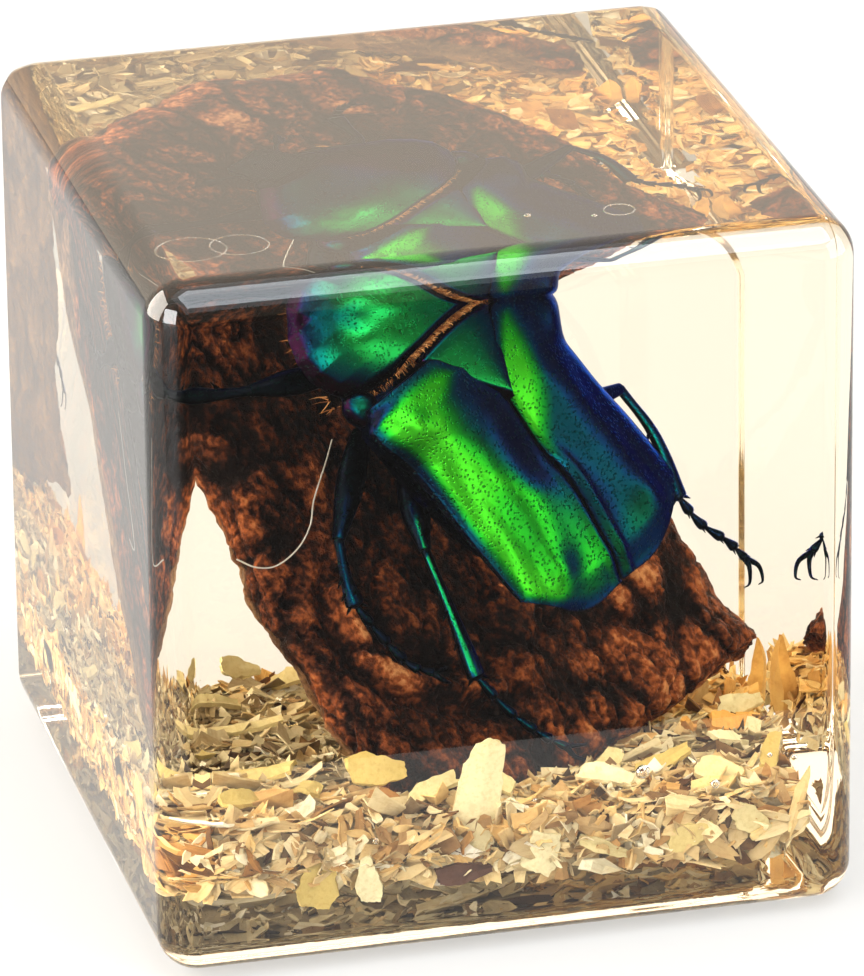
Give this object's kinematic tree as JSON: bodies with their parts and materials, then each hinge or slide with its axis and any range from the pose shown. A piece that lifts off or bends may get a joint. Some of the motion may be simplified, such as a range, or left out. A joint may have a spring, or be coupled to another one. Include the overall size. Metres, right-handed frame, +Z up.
{
  "type": "insect in resin block",
  "caption": "Clear resin cube with rounded edges holding a metallic green flower chafer on a leaning plank of dark bark above a bed of chopped dry plant litter.",
  "frame": {"origin": "middle of the cube's underside", "axes": "+Z up, the cube's front face looks along -Y, +X to the right seen from the front"},
  "size_m": [0.042, 0.0424, 0.043],
  "materials": {
    "clear_resin": "polished clear casting resin with a faint warm tint",
    "green_chitin": "metallic green wing cases that turn blue and violet at grazing angles",
    "bark": "rough dark red-brown bark, nearly black in its cracks",
    "dry_litter": "chopped dry leaves and stems, straw to olive",
    "pale_chip": "matt pale straw",
    "yellow_chip": "matt yellow-olive leaf",
    "orange_chip": "matt orange plant bit",
    "dark_seed": "dark brown seed",
    "husk": "matt tan husk"
  },
  "bodies": {
    "root": {"back_flake_low": "pale_chip", "back_flake_tall": "pale_chip", "bark": "bark", "beetle": "green_chitin", "corner_chip": "pale_chip", "cream_curl": "pale_chip", "dark_seed": "dark_seed", "fan_flake": "yellow_chip", "flat_flake": "yellow_chip", "leaf_corner": "yellow_chip", "left_flake_back": "pale_chip", "left_flake_front": "yellow_chip", "left_flake_middle": "pale_chip", "left_flake_wall": "yellow_chip", "litter_bed": "dry_litter", "notched_flake": "pale_chip", "olive_chip": "yellow_chip", "orange_chip": "orange_chip", "orange_splinter": "orange_chip", "oval_flake": "yellow_chip", "pale_chip_crossed": "pale_chip", "pale_chip_left": "pale_chip", "pale_chip_middle": "pale_chip", "pale_chip_right": "pale_chip", "resin_lower": "clear_resin", "resin_upper": "clear_resin", "right_chip": "pale_chip", "right_strip": "yellow_chip", "seed_husk": "husk", "slip_flake": "pale_chip", "square_flake": "pale_chip", "tall_chip": "pale_chip", "torn_flake": "pale_chip", "yellow_leaf": "yellow_chip"}
  },
  "joints": []
}
